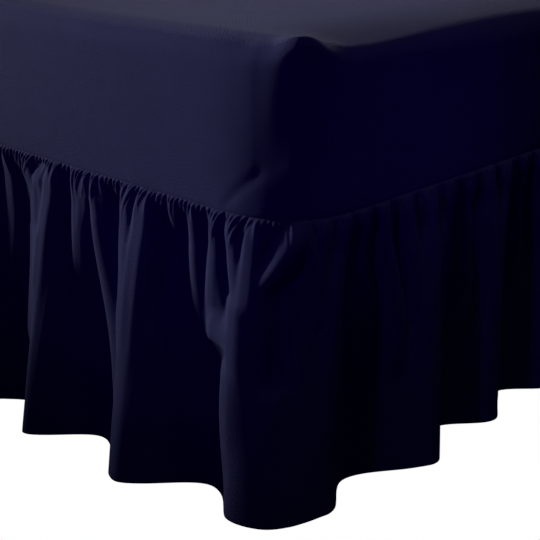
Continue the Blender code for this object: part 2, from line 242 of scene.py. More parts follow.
# The folds round the rest of the bed are of the same two kinds, drawn from these ranges
FOLD_SEED = 11
FOLD_SPACING = (0.074, 0.104)
FOLD_OUT = (0.052, 0.084)
FOLD_IN = (-0.014, 0.012)
RIDGE_SPACING = (0.026, 0.050)
RIDGE_DRIFT = (-0.030, 0.030)
RIDGE_SETTLED = (0.20, 0.60)
RIDGE_REACH = (0.20, 1.05)
RIDGE_OUT = (0.018, 0.030)
RIDGE_HALF = (0.001, 0.009)
# Gathers at the seam, a stitch or two wide, that merge into the ridges below
PUCKER_SEED = 5
PUCKER_FIRST = -0.64
PUCKER_HALF = (0.0030, 0.0042)
PUCKER_GAP = (0.0, 0.002)
PUCKER_DRIFT = 0.15 / DROP  # most that one moves along the seam for each metre down
PUCKER_REACH = (0.05, 0.12)  # share of the drop
PUCKER_SIZE = (0.6, 1.2)
PUCKER_NEAR = 0.025  # along the seam, beyond which one adds nothing
PUCKER_SHARPNESS = 1.6  # the power with which its flanks fall away
PUCKER_RISE = (-0.004, 0.016)  # share of the drop where they start, and over which they rise

# Meshes
CLOSE_LOOK = (-0.62, 0.60)  # the stretch of seam round the corner at +X, -Y that has the finest mesh
COVER_STEPS = (0.0018, 0.0036)  # between columns, there and elsewhere
FRILL_STEPS = (0.0010, 0.0020)
COVER_JOIN = 0.10  # from the cover mesh's own first and last column to the far corner's dart
FRILL_FINE = 0.13  # share of the drop above which the frill has all its columns
WELD = 0.00002
SHARP_ANGLE = 65  # degrees

# Mattress and base
MATTRESS_INSET = 0.001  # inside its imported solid, all round
MATTRESS_CORNER = 0.15
MATTRESS_EDGE = 0.065
QUILT_LAYER = 0.012  # depth of the layer that the quilting presses into
QUILT_CUTS = 4  # of the mesh for each diamond
TICKING_STRIPE = 0.024  # from one stripe to the next
FLAT = 0.001  # an edge that rises less than this lies flat

# Camera and light
CAMERA_PLACE = (1.2415, -1.8145, 0.793)
CAMERA_TURN = (90 - 20.64, 0.0, 43.753)  # degrees
LENS = 71.21
SENSOR = 36.0
LAMP_DISTANCE = 5.0  # from each lamp to what it is aimed at
WHITE = (1.0, 1.0, 1.0)
BLUE = (0.15, 0.02, 1.0)  # of the light in the shade
FLOOR_RADIUS = 14.0


def linear(hex_colour):
    """An sRGB hex colour as linear red, green, blue and alpha."""
    parts = [int(hex_colour[i : i + 2], 16) / 255 for i in (1, 3, 5)]
    return (*[p / 12.92 if p <= 0.04045 else ((p + 0.055) / 1.055) ** 2.4 for p in parts], 1.0)


def ease(share):
    """A smooth step from 0 to 1."""
    share = np.clip(share, 0.0, 1.0)
    return share * share * (3 - 2 * share)


def bell(off, width):
    """A bell curve, 1 in the middle."""
    return np.exp(-0.5 * (off / (width / 2)) ** 2)


def seam_points(along, out):
    """Plan positions at distances along the seam and distances out from it."""
    left = (along + CORNER_ARC / 2) % SEAM_LENGTH
    x, y = np.zeros_like(left), np.zeros_like(left)
    todo = np.ones(left.shape, bool)
    for side_x, side_y, first_angle, straight in CORNERS:
        angle = math.radians(first_angle) + np.minimum(left, CORNER_ARC) / CORNER_RADIUS
        across, onward = np.cos(angle), np.sin(angle)
        past = left - CORNER_ARC
        here = todo & (past < straight)
        run = np.maximum(past, 0.0)
        reach = CORNER_RADIUS + out
        x[here] = (side_x * (SEAM_HALF_WIDTH - CORNER_RADIUS) + reach * across - onward * run)[here]
        y[here] = (side_y * (SEAM_HALF_LENGTH - CORNER_RADIUS) + reach * onward + across * run)[here]
        todo &= ~here
        left = past - straight
    return x, y


def darts():
    """Where the darts are along the seam."""
    places, place = [], 0.0
    for *_, straight in CORNERS:
        places.append(place)
        place += CORNER_ARC + straight
    return places


def round_seam(gap):
    """A difference between two places on the seam, taken the shorter way round."""
    return (gap + SEAM_LENGTH / 2) % SEAM_LENGTH - SEAM_LENGTH / 2


def off_dart(along):
    """How far places on the seam are past the nearest dart, less than 0 before it."""
    nearest = np.full(np.shape(along), SEAM_LENGTH)
    for dart in darts():
        gap = round_seam(along - dart)
        nearest = np.where(np.abs(gap) < np.abs(nearest), gap, nearest)
    return nearest


def along_long_side(along):
    """How far places on the seam are from the nearest dart, less than 0 on the foot and the head."""
    place = along % (SEAM_LENGTH / 2)
    length = CORNER_ARC + STRAIGHT_LENGTH
    on_long = np.minimum(place, length - place)
    on_short = np.minimum(place - length, SEAM_LENGTH / 2 - place)
    return np.where(place < length, on_long, -on_short)


def side_value(from_corner, pair):
    """A size on a long side that changes away from the corner."""
    start, end = SIDE_SPAN
    return pair[0] + (pair[1] - pair[0]) * ease((from_corner - start) / (end - start))


def side_sag(x, y):
    """How far the mattress's top and the cover on it drop towards the long sides."""
    from_end, from_side = SEAM_HALF_LENGTH - np.abs(y), SEAM_HALF_WIDTH - np.abs(x)
    start, end = SIDE_SAG_ENDS
    sag = side_value(from_end, SIDE_SAGS) * np.clip(1 - from_side / SIDE_SAG_REACH, 0, 1) ** 2
    return sag * ease((from_end - start) / (end - start))


def edge_radius(along):
    """The radius of the cover's top edge."""
    from_dart = along_long_side(along)
    side = side_value(from_dart, SIDE_EDGE_RADII)
    change = ease((from_dart - SIDE_EDGE_START) / SIDE_EDGE_LENGTH)
    return TOP_EDGE_RADIUS + (side - TOP_EDGE_RADIUS) * change


def drawn_places(draw, spacing, last, first, count):
    """Places along the seam from the end of a table's stretch to its start, at drawn spacings."""
    steps = [draw.uniform(*spacing) for _ in range(count)]
    stretch = (first - last) / sum(steps)
    places, place = [], last
    for step in steps[:-1]:
        place += step * stretch
        places.append(place)
    return places


def every_fold():
    """The hem folds all round: the table's, then drawn ones up to where the table starts again."""
    draw = random.Random(FOLD_SEED)
    folds = list(HEM_FOLDS)
    first, last = folds[0][0] + SEAM_LENGTH, folds[-1][0]
    pairs = round((first - last) / sum(FOLD_SPACING))
    for number, place in enumerate(drawn_places(draw, FOLD_SPACING, last, first, 2 * pairs)):
        out = draw.uniform(*(FOLD_OUT if number % 2 else FOLD_IN))
        folds.append((place, out))
    return folds


def every_ridge():
    """The ridges all round: the table's, then drawn ones."""
    draw = random.Random(FOLD_SEED + 1)
    ridges = list(RIDGES)
    first, last = ridges[0][0] + SEAM_LENGTH, ridges[-1][0]
    count = round((first - last) / (sum(RIDGE_SPACING) / 2))
    for top in drawn_places(draw, RIDGE_SPACING, last, first, count):
        foot = top + draw.uniform(*RIDGE_DRIFT)
        sizes = [draw.uniform(*span) for span in (RIDGE_SETTLED, RIDGE_REACH, RIDGE_OUT, RIDGE_HALF)]
        ridges.append((top, foot, *sizes))
    return ridges


def every_pucker():
    """The gathers all round: middle, half width, drift, reach and size."""
    draw = random.Random(PUCKER_SEED)
    puckers = []
    middle = PUCKER_FIRST
    while middle < PUCKER_FIRST + SEAM_LENGTH - PUCKER_HALF[1]:
        half = draw.uniform(*PUCKER_HALF)
        middle += 2 * half + draw.uniform(*PUCKER_GAP)
        drift = draw.uniform(-PUCKER_DRIFT, PUCKER_DRIFT)
        puckers.append((middle, half, drift, draw.uniform(*PUCKER_REACH), draw.uniform(*PUCKER_SIZE)))
    return puckers


def fold_in_near(folds, along):
    """The fold in that is nearest to a place along the seam."""
    return min((place for place, _ in folds[1::2]), key=lambda place: abs(place - along))


def hem_out(folds, along):
    """How far the hem stands out at places along the seam."""
    starts = np.array([place for place, _ in folds] + [folds[0][0] + SEAM_LENGTH])
    outs = np.array([out for _, out in folds] + [folds[0][1]])
    place = starts[0] + (along - starts[0]) % SEAM_LENGTH
    number = np.clip(np.searchsorted(starts, place, side="right") - 1, 0, len(folds) - 1)
    share = (place - starts[number]) / (starts[number + 1] - starts[number])
    return outs[number] + (outs[number + 1] - outs[number]) * ease(share)


def small_folds(ridges, along, share):
    """How far the small folds stand out or in, at places along the seam and shares of the drop."""
    slope = RIDGE_SLOPES[0] + (RIDGE_SLOPES[1] - RIDGE_SLOPES[0]) * share
    rounding = RIDGE_ROUNDING[0] + (RIDGE_ROUNDING[1] - RIDGE_ROUNDING[0]) * share
    rise = 1 - np.exp(-share / RIDGE_RISE)
    total = np.ones_like(along)

    def add(near, off, height, half):
        """Blends one fold into those that are there already."""
        beside = np.hypot(np.maximum(off[near] - half, 0.0), rounding[near]) - rounding[near]
        strength = np.minimum(height / FOLD_FULL, 1.0)
        total[near] += strength * np.exp((height - slope[near] * beside) / RIDGE_BLEND)

    for top, foot, settled, reach, out, half in ridges:
        off = np.abs(round_seam(along - top - (foot - top) * ease(share / settled)))
        near = (off < FOLD_NEAR) & (share < reach)
        add(near, off, out * rise[near] * (1 - share[near] / reach) ** RIDGE_TAPER, half)
    for middle, start, end, fade, out, half in BRIDGES:
        off = np.abs(round_seam(along - middle))
        near = (off < FOLD_NEAR) & (share > start) & (share < end)
        at = share[near]
        add(near, off, out * ease((at - start) / BRIDGE_RISE) * ease((end - at) / fade), half)
    back = FOLD_BACK * ease(share / FOLD_BACK_RISE) * (1 - share)
    return RIDGE_BLEND * np.log(total) - back


def gathers(puckers, along, share):
    """How far the gathers at the seam stand out, from 0 to about 1."""
    height = np.zeros_like(along)
    for middle, half, drift, reach, size in puckers:
        gap = round_seam(along - middle)
        near = (np.abs(gap) < PUCKER_NEAR) & (share < reach)
        off = np.abs(gap[near] - drift * DROP * share[near])
        shape = (1 - np.clip(off / half, 0, 1) ** PUCKER_SHARPNESS) * size * (1 - share[near] / reach)
        height[near] = np.maximum(height[near], shape)
    start, rise = PUCKER_RISE
    return height * ease((share - start) / rise)


def waviness(seed, wavelength, points):
    """A soft unevenness between about -1 and 1, from a few waves in seeded directions."""
    draw = random.Random(seed)
    total = 0.0
    for _ in range(6):
        way = Vector([draw.gauss(0, 1) for _ in range(3)]).normalized()
        length = wavelength * draw.uniform(0.7, 1.4)
        turn = (points[0] * way.x + points[1] * way.y + points[2] * way.z) * math.tau / length
        total = total + np.sin(turn + draw.uniform(0, math.tau))
    return total / 3


def spread(start, end, close, wide):
    """Places from start to end, closer together where the mesh is finest, in an even number of steps."""
    first, last = max(start, CLOSE_LOOK[0]), min(end, CLOSE_LOOK[1])
    runs = [(start, end, wide)]
    if first < last:
        runs = [(start, first, wide), (first, last, close), (last, end, wide)]
    places = [start]
    for low, high, step in runs:
        if high - low > step:
            count = 4 * math.ceil((high - low) / step / 4)
            places += list(np.linspace(low, high, count + 1)[1:])
    return np.array(places)


def make_mesh(name, bm):
    """A mesh from a bmesh, which is freed."""
    mesh = bpy.data.meshes.new(name)
    bm.to_mesh(mesh)
    bm.free()
    return mesh


def graded(start, length, count, power=1.0):
    """Places over a length, closer together at its start where the power is over 1."""
    return list(start + length * np.linspace(0, 1, count) ** power)


def cut_cloth(name, columns, rows, halved):
    """A flat cloth with a point at each column and row. In each span of rows that halved gives, every second
    column that is left ends. Until the cloth is hung, a point's place is its column's and row's numbers."""
    across, up = len(columns) - 1, len(rows) - 1
    bm = bmesh.new()
    bmesh.ops.create_grid(bm, x_segments=across, y_segments=up, size=0.5)
    bmesh.ops.translate(bm, vec=(0.5, 0.5, 0.0), verts=bm.verts)
    bmesh.ops.scale(bm, vec=(across, up, 1.0), verts=bm.verts)
    for level, (first, last) in enumerate(halved):
        step = 2 ** (level + 1)
        spare = [
            edge
            for edge in bm.edges
            if all(round(v.co.x) % step and first - 0.5 < v.co.y < last + 0.5 for v in edge.verts)
        ]
        bmesh.ops.dissolve_edges(bm, edges=spare, use_verts=True)
    return make_mesh(name, bm)


def hang(mesh, columns, rows, place, flat_top=None):
    """Moves a cut cloth's points to where they hang, and keeps their places on the flat cloth as its UV map,
    in metres. Faces above the row flat_top lie flat, so their place on the cloth is their plan position."""
    count = len(mesh.vertices)
    numbers = np.empty(count * 3, np.float32)
    mesh.vertices.foreach_get("co", numbers)
    numbers = np.rint(numbers.reshape(-1, 3)).astype(int)
    along, up = columns[numbers[:, 0]], rows[numbers[:, 1]]
    points = np.stack(place(along, up), -1)
    corners = np.empty(len(mesh.loops), np.int32)
    mesh.loops.foreach_get("vertex_index", corners)
    flat = np.stack((along, up), -1)[corners]
    if flat_top is not None:
        sizes = np.empty(len(mesh.polygons), np.int32)
        mesh.polygons.foreach_get("loop_total", sizes)
        starts = np.concatenate(([0], np.cumsum(sizes)[:-1]))
        lowest = np.minimum.reduceat(numbers[:, 1][corners], starts)
        lies = np.repeat(lowest >= flat_top, sizes)
        flat[lies] = points[:, :2][corners][lies]
    mesh.uv_layers.new(name="cloth").data.foreach_set("uv", flat.astype(np.float32).ravel())
    mesh.vertices.foreach_set("co", points.astype(np.float32).ravel())
    mesh.update()


def edge_rise(edge):
    """How much higher one end of an edge is than the other."""
    return abs(edge.verts[0].co.z - edge.verts[1].co.z)


def add_piece(name, mesh, finish, node):
    """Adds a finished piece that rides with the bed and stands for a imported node."""
    made = bpy.data.objects.new(name, mesh)
    bpy.context.scene.collection.objects.link(made)
    mesh.materials.append(finish)
    mesh.shade_smooth()
    mesh.set_sharp_from_angle(angle=math.radians(SHARP_ANGLE))
    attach(made, "root")
    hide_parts(node)
    return made


def add_node(material, kind, inputs=None, **settings):
    """Adds a node with its settings, its inputs' values and the sockets that they are linked from."""
    node = material.node_tree.nodes.new(kind)
    for name, value in settings.items():
        setattr(node, name, value)
    for name, value in (inputs or {}).items():
        if isinstance(value, bpy.types.NodeSocket):
            material.node_tree.links.new(value, node.inputs[name])
        else:
            node.inputs[name].default_value = value
    return node


def start_material(name):
    """A new material, and its shader."""
    made = bpy.data.materials.new(name)
    made.use_nodes = True
    return made, made.node_tree.nodes["Principled BSDF"]


def plain_weave(material, place, pitch):
    """The height of a plain weave, as threads that pass over and under each other. Pitch is in metres."""
    threads = {
        "Vector": place,
        "Scale": math.pi / 10 / pitch,
        "Distortion": 0.35,
        "Detail": 1.0,
        "Detail Scale": 0.15,
    }
    waves = []
    for way in ("X", "Y"):
        wave = add_node(material, "ShaderNodeTexWave", threads, wave_type="BANDS", bands_direction=way)
        centre = {0: wave.outputs["Fac"], 1: 2.0, 2: -1.0}
        waves.append(add_node(material, "ShaderNodeMath", centre, operation="MULTIPLY_ADD").outputs[0])
    return add_node(material, "ShaderNodeMath", {0: waves[0], 1: waves[1]}, operation="MULTIPLY").outputs[0]


def mottle(material, place, scale, detail, roughness):
    """An unevenness from 0 to 1."""
    sizes = {"Vector": place, "Scale": scale, "Detail": detail, "Roughness": roughness}
    return add_node(material, "ShaderNodeTexNoise", sizes).outputs["Fac"]


def two_shades(material, colour, first, second, factor):
    """A colour that passes from one multiple of itself to another."""
    shades = [(*[part * share for part in colour], 1.0) for share in (first, second)]
    inputs = {"Factor": factor, "A": shades[0], "B": shades[1]}
    return add_node(material, "ShaderNodeMix", inputs, data_type="RGBA").outputs["Result"]


def finish_cloth(material, shader, shade, height, strength, depth, roughness):
    """Gives a cloth its colour, and the roughness and the bump of its threads."""
    threads = {"Strength": strength, "Distance": depth, "Height": height}
    bump = add_node(material, "ShaderNodeBump", threads)
    links = material.node_tree.links
    links.new(shade, shader.inputs["Base Color"])
    links.new(bump.outputs["Normal"], shader.inputs["Normal"])
    shader.inputs["Roughness"].default_value = roughness
    shader.inputs["IOR"].default_value = 1.5


def navy_cloth(colour):
    """Polycotton percale, piece-dyed navy and woven plain: a dense matt cloth with a fine even grain, whose
    dye lies slightly uneven, so that it looks soft in the light and nearly black in the shade."""
    made, shader = start_material("navy_polycotton_percale")
    place = add_node(made, "ShaderNodeTexCoord").outputs["UV"]
    # Its threads are about 0.3 mm apart, which is too fine to show, so the weave is drawn eight times coarser
    weave = plain_weave(made, place, pitch=0.0024)
    slubs = mottle(made, place, scale=280.0, detail=2.0, roughness=0.6)
    grain = add_node(made, "ShaderNodeMath", {0: slubs, 1: 4.0, 2: weave}, operation="MULTIPLY_ADD")
    # The dye's unevenness runs over a few centimetres
    cloud = mottle(made, place, scale=22.0, detail=5.0, roughness=0.8)
    shade = two_shades(made, colour, 0.80, 1.20, cloud)
    finish_cloth(made, shader, shade, grain.outputs[0], strength=0.7, depth=0.0003, roughness=0.9)
    shader.inputs["Specular IOR Level"].default_value = 0.08
    return made


def ticking(colour):
    """Cotton ticking, woven tight in off-white: a matt cloth with a faint close stripe."""
    made, shader = start_material("woven_cotton_ticking")
    place = add_node(made, "ShaderNodeTexCoord").outputs["Object"]
    # Threads 0.5 mm apart are too fine to show, so they are drawn at 2.5 mm
    weave = plain_weave(made, place, pitch=0.0025)
    bands = {"Vector": place, "Scale": math.pi / 10 / TICKING_STRIPE}
    stripe = add_node(made, "ShaderNodeTexWave", bands, bands_direction="X").outputs["Fac"]
    shade = two_shades(made, colour, 1.0, 0.9, stripe)
    finish_cloth(made, shader, shade, weave, strength=0.4, depth=0.0002, roughness=0.9)
    return made


def base_fabric(colour):
    """Polyester upholstery cloth, stapled tight round the base: grey, matt and lightly mottled."""
    made, shader = start_material("woven_polyester_upholstery")
    place = add_node(made, "ShaderNodeTexCoord").outputs["Object"]
    # Yarns 1 mm apart are drawn at 3 mm
    weave = plain_weave(made, place, pitch=0.003)
    flecks = mottle(made, place, scale=90.0, detail=5.0, roughness=0.7)
    shade = two_shades(made, colour, 0.75, 1.2, flecks)
    finish_cloth(made, shader, shade, weave, strength=0.5, depth=0.0003, roughness=0.95)
    return made


def cloth_in_use(colour):
    """The navy cloth, which the cover and the frill share."""
    return bpy.data.materials.get("navy_polycotton_percale") or navy_cloth(colour)


def corner_out(off, up):
    """How far the cloth stands out beyond the seam's outline near a dart, up from the seam. The cloth is
    turned towards the next side by the table's angles, and its outline is summed from its slopes."""
    distances, *turns = (np.array(column) for column in zip(*CORNER_TURNS))
    steps = np.linspace(distances[-1], 0.0, CORNER_POINTS)
    arc = np.degrees(np.maximum(CORNER_ARC / 2 - steps, 0.0) / CORNER_RADIUS)
    outs = []
    for turn in turns:
        slopes = np.tan(np.radians(arc - np.interp(steps, distances, turn)))
        out = np.concatenate(([0.0], np.cumsum((slopes[1:] + slopes[:-1]) / 2))) * (steps[0] - steps[1])
        outs.append(np.interp(np.abs(off), steps[::-1], out[::-1]))
    total = outs[0]
    for out, (start, end) in zip(outs[1:], CORNER_LEVELS):
        total = total + (out - total) * ease((up - start) / (end - start))
    return total


def drag_lines(off, up):
    """How far the cloth stands out in the folds that the dart drags across the corner."""
    total = np.zeros_like(off)
    for start, low, end, high, out, width in DRAGS:
        run, rise = end - start, high - low
        length = math.hypot(run, rise)
        share = ((off - start) * run + (up - low) * rise) / length**2
        beside = ((off - start) * rise - (up - low) * run) / length
        ends = ease(share / DRAG_ENDS + 0.5) * ease((1 - share) / DRAG_ENDS + 0.5)
        total += out * ends * bell(beside, width)
    return total


def tip_lift(off, up, ear_height):
    """How far the cloth rises to a dart's tip, or sags beside it."""
    ear = ear_height * bell(off - DART_FOOT - DART_LEAN * up, EAR_WIDTH)
    dip = DIP_DEPTH * bell(np.abs(off) - DIP_AT, DIP_WIDTH)
    low, middle, high = LIFT_START * WALL, WALL + EDGE_ARC / 2, WALL + EDGE_ARC
    lifted = ease((up - low) / (middle - low)) * ease((high - up) / (EDGE_ARC / 2))
    return lifted * (ear - dip)


def on_top(x, y, up):
    """Plan positions once the top's rows are drawn in to the line along its middle."""
    inward = np.clip((up - WALL - EDGE_ARC) / TOP_REACH, 0, 1)
    spine = np.clip(y, -SPINE, SPINE)
    spine = np.where(inward > 0.999, np.round(spine / SPINE_STEP) * SPINE_STEP, spine)
    return x * (1 - inward), y + (spine - y) * inward


def add_floor(scene):
    """A white floor that only the camera sees: it takes no shadow and lights nothing."""
    bm = bmesh.new()
    bmesh.ops.create_circle(bm, cap_ends=True, cap_tris=False, segments=64, radius=FLOOR_RADIUS)
    mesh = make_mesh("floor", bm)
    floor = bpy.data.objects.new("floor", mesh)
    scene.collection.objects.link(floor)
    paint = bpy.data.materials.new("plain_white_floor")
    paint.use_nodes = True
    nodes = paint.node_tree.nodes
    nodes.remove(nodes["Principled BSDF"])
    glow = add_node(paint, "ShaderNodeEmission", {"Color": linear("#FFFFFF"), "Strength": 1.0})
    paint.node_tree.links.new(glow.outputs[0], nodes["Material Output"].inputs["Surface"])
    mesh.materials.append(paint)
    for kind in ("diffuse", "glossy", "transmission", "volume_scatter", "shadow"):
        setattr(floor, "visible_" + kind, False)


def add_surroundings(scene, fill):
    """A white background for the camera, and a dim blue light from all round on the bed."""
    world = bpy.data.worlds.new("studio")
    world.use_nodes = True
    scene.world = world
    seen = add_node(world, "ShaderNodeLightPath").outputs["Is Camera Ray"]
    colours = {"Factor": seen, "A": (*BLUE, 1.0), "B": (*WHITE, 1.0)}
    tint = add_node(world, "ShaderNodeMix", colours, data_type="RGBA")
    level = add_node(world, "ShaderNodeMix", {"Factor": seen, "A": fill, "B": 1.0})
    background = world.node_tree.nodes["Background"]
    world.node_tree.links.new(tint.outputs["Result"], background.inputs["Color"])
    world.node_tree.links.new(level.outputs["Result"], background.inputs["Strength"])


def add_lamps(scene, sizes):
    """Narrow lamps, most of them aimed near the corner at +X, -Y. The blue ones light the shade."""
    lamps = (
        # name, degrees from -Y towards -X, degrees up, strength, radius, degrees wide, colour, target
        ("key", 70.0, 7.0, sizes.key, 0.2, 22.5, WHITE, (0.2, -0.95, 0.85)),
        ("back", 165.0, 8.0, sizes.back, 0.8, 40.0, WHITE, (0.0, 1.0, 0.35)),
        ("side", 250.0, 6.0, 0.5 * sizes.back, 0.15, 14.0, WHITE, (0.45, 0.55, 0.35)),
        ("front", -10.0, 25.0, sizes.front, 0.15, 14.0, BLUE, (0.25, -0.95, 0.55)),
        ("front side", -120.0, -10.0, 1.1 * sizes.front, 0.15, 7.0, BLUE, (0.45, -0.72, 0.52)),
        ("top", 120.0, 30.0, 3.8 * sizes.edge, 0.15, 14.0, WHITE, (0.35, -0.75, 0.60)),
        ("edge", -95.0, 84.0, 0.75 * sizes.edge, 0.15, 13.0, WHITE, (0.42, -0.62, 0.60)),
    )
    for name, azimuth, elevation, strength, radius, width, colour, target in lamps:
        turn, up = math.radians(azimuth), math.radians(elevation)
        way = Vector((-math.sin(turn) * math.cos(up), -math.cos(turn) * math.cos(up), math.sin(up)))
        lamp = bpy.data.lights.new(name, "SPOT")
        lamp.energy = strength * math.pi * LAMP_DISTANCE**2
        lamp.shadow_soft_size = radius
        lamp.color = colour
        lamp.spot_size = math.radians(width)
        lamp.spot_blend = 1.0
        placed = bpy.data.objects.new(name, lamp)
        placed.location = Vector(target) + LAMP_DISTANCE * way
        placed.rotation_euler = way.to_track_quat("Z", "Y").to_euler()
        scene.collection.objects.link(placed)


def add_camera(scene):
    """The camera, on the corner at +X, -Y."""
    lens = bpy.data.cameras.new("camera")
    lens.lens, lens.sensor_width = LENS, SENSOR
    camera = bpy.data.objects.new("camera", lens)
    camera.location = CAMERA_PLACE
    camera.rotation_euler = [math.radians(angle) for angle in CAMERA_TURN]
    scene.collection.objects.link(camera)
    scene.camera = camera
    scene.view_settings.view_transform = "Standard"


class BedSkirtCover(bpy.types.PropertyGroup):
    """Sizes and colour of the fitted cover."""

    colour: bpy.props.FloatVectorProperty(
        name="Cloth colour",
        description="Colour of the cover and the frill",
        subtype="COLOR",
        size=3,
        min=0.0,
        max=1.0,
        default=linear("#35375B")[:3],
    )
    ear_height: bpy.props.FloatProperty(
        name="Dart tip", description="How far the tip of each dart stands up", default=0.008, unit="LENGTH"
    )
    unevenness: bpy.props.FloatProperty(
        name="Unevenness", description="How uneven the stretched cloth is", default=0.0006, unit="LENGTH"
    )


class BedSkirtFrill(bpy.types.PropertyGroup):
    """Sizes of the gathered frill."""

    pucker: bpy.props.FloatProperty(
        name="Gathers", description="How far the gathers stand out at the seam", default=0.0042, unit="LENGTH"
    )
    hem: bpy.props.FloatProperty(
        name="Hem", description="Depth of the turned-up hem", default=0.020, unit="LENGTH"
    )


class BedSkirtMattress(bpy.types.PropertyGroup):
    """Sizes and colour of the mattress."""

    colour: bpy.props.FloatVectorProperty(
        name="Ticking colour",
        description="Colour of the mattress cover",
        subtype="COLOR",
        size=3,
        min=0.0,
        max=1.0,
        default=linear("#E2E0D8")[:3],
    )
    quilting: bpy.props.FloatProperty(
        name="Quilting", description="Spacing of the quilted diamonds", default=0.16, unit="LENGTH"
    )
    quilt_depth: bpy.props.FloatProperty(
        name="Quilting depth", description="Depth of the quilted lines", default=0.004, unit="LENGTH"
    )


class BedSkirtBase(bpy.types.PropertyGroup):
    """Colour of the bed base."""

    colour: bpy.props.FloatVectorProperty(
        name="Base colour",
        description="Colour of the base's upholstery",
        subtype="COLOR",
        size=3,
        min=0.0,
        max=1.0,
        default=linear("#8A8B90")[:3],
    )


class BedSkirtStage(bpy.types.PropertyGroup):
    """Light, floor and camera."""

    key: bpy.props.FloatProperty(
        name="Key light", description="Strength of the main light on the bed", default=12.6, min=0.0
    )
    fill: bpy.props.FloatProperty(
        name="Fill light", description="Strength of the light from all round", default=0.022, min=0.0
    )
    back: bpy.props.FloatProperty(
        name="Back lights",
        description="Strength of the lights on the head and its corner",
        default=8.0,
        min=0.0,
    )
    front: bpy.props.FloatProperty(
        name="Front lights",
        description="Strength of the blue lights on the near corner",
        default=1.4,
        min=0.0,
    )
    edge: bpy.props.FloatProperty(
        name="Top lights",
        description="Strength of the lights on the top and its long edge",
        default=1.3,
        min=0.0,
    )


class BEDSKIRT_OT_cover(bpy.types.Operator):
    """Make the fitted cover"""

    bl_idname = "bed_skirt.make_cover"
    bl_label = "Make cover"

    def execute(self, context):
        sizes = context.scene.bed_skirt_cover
        start = SEAM_LENGTH / 2 - COVER_JOIN
        columns = spread(start - SEAM_LENGTH, start, *COVER_STEPS)
        wall = graded(0.0, WALL, count=44, power=1.5)
        edge = graded(WALL, EDGE_ARC, count=15)[1:]
        top = graded(WALL + EDGE_ARC, TOP_REACH, count=18, power=1.3)[1:]
        rows = np.array([-COVER_STRIP, *wall, *edge, *top])
        flat_top = len(wall) + len(edge)
        # Above the seam's gathers every second column goes on, and on the top every fourth, then every eighth
        halved = [(first, len(rows) - 1) for first in (12, flat_top + 1, flat_top + 5)]
        mesh = cut_cloth("cover_cloth", columns, rows, halved)
        puckers = every_pucker()

        def place(along, up):
            off = off_dart(along)
            turn = np.clip((up - WALL) / TOP_EDGE_RADIUS, 0, math.pi / 2)
            radius = edge_radius(along)
            height = SEAM_HEIGHT + np.clip(up / WALL, 0, 1) * (TOP_HEIGHT - radius - SEAM_HEIGHT)
            height += radius * np.sin(turn)
            lift = tip_lift(off, up, sizes.ear_height)
            out = EAR_OUT * np.maximum(lift, 0) - radius * (1 - np.cos(turn))
            out -= SIDE_HOLLOW * np.sin(math.pi * np.clip(up / WALL, 0, 1))
            out += corner_out(off - DART_FOOT - DART_LEAN * up, up) + drag_lines(off, up)
            share = np.clip(up, 0, None) / DROP
            x, y = seam_points(along, out)
            uneven = np.clip(waviness(*PUCKER_WAVES, (x, y, up)), 0, 1)
            out += COVER_PUCKER * uneven * gathers(puckers, along, share) * np.exp(-up / COVER_PUCKER_FALL)
            tuck = SEAM_TUCK * np.exp(-np.clip(up, 0, None) / COVER_TUCK_FALL)
            out -= tuck + np.where(up < 0, STRIP_INSET, 0.0)
            x, y = seam_points(along, out)
            uneven = waviness(*SIDE_WAVES, (x, y, height)) * ease(up / SIDE_WAVES_RISE)
            out += sizes.unevenness * uneven * np.cos(turn)
            x, y = on_top(*seam_points(along, out), up)
            sag = side_sag(x, y) * ease((up / WALL - SIDE_SAG_START) / (1 - SIDE_SAG_START))
            height = height + lift - sag + np.where(up < 0, -up, 0.0)
            uneven = TOP_UNEVENNESS * sizes.unevenness * waviness(*TOP_WAVES, (x, y, height))
            height += uneven * np.sin(turn) ** 4
            return x, y, height

        hang(mesh, columns, rows, place, flat_top)
        bm = bmesh.new()
        bm.from_mesh(mesh)
        bmesh.ops.remove_doubles(bm, verts=bm.verts, dist=WELD)
        bm.to_mesh(mesh)
        bm.free()
        cover = add_piece("cover_cloth", mesh, cloth_in_use(sizes.colour), "fitted_cover")
        return {"FINISHED"}


